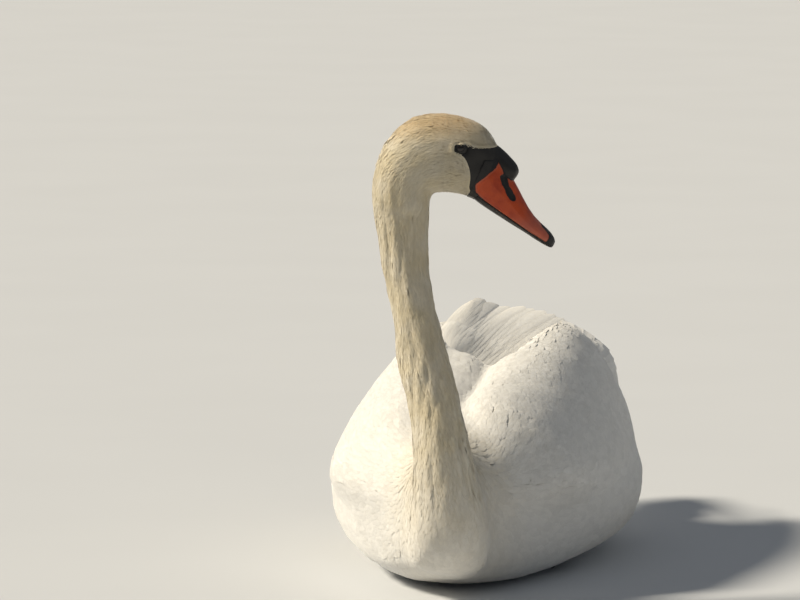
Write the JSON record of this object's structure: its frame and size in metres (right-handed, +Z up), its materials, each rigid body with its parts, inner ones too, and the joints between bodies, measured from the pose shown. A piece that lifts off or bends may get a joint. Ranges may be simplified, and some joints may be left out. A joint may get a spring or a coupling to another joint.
{
  "type": "mute swan model",
  "caption": "Life-size still model of an adult male mute swan at rest on its belly, wings half raised, neck up and head turned to its left.",
  "frame": {"origin": "middle of the flat under the belly, on the floor that the bird rests on", "axes": "+Y runs from breast to tail, +X to the bird's left, +Z up"},
  "size_m": [0.336, 0.7789, 0.4962],
  "materials": {
    "plumage_white": "white feathers, slightly creamy, matt with a silky edge",
    "plumage_neck": "white feathers stained cream to rusty yellow, damp",
    "bill_orange": "smooth orange-red horn, satin",
    "bill_black": "black horn and bare skin, satin",
    "eye": "dark brown eye, wet gloss",
    "foot_skin": "black scaly skin, matt"
  },
  "bodies": {
    "root": {"neck_lower": "plumage_neck", "neck_middle": "plumage_neck", "neck_upper": "plumage_neck", "head": "plumage_neck", "bill_upper": "bill_orange", "bill_nail": "bill_black", "bill_lower": "bill_black", "bill_knob": "bill_black", "eye_left": "eye", "eye_right": "eye", "foot_left": "foot_skin", "leg_left": "foot_skin", "foot_right": "foot_skin", "leg_right": "foot_skin", "trunk": "plumage_white", "wing_left": "plumage_white", "wing_right": "plumage_white", "scapulars_left": "plumage_white", "scapulars_right": "plumage_white", "tertials_left": "plumage_white", "tertials_right": "plumage_white", "secondaries_left": "plumage_white", "secondaries_right": "plumage_white", "primaries_left": "plumage_white", "primaries_right": "plumage_white", "tail": "plumage_white"}
  },
  "joints": []
}
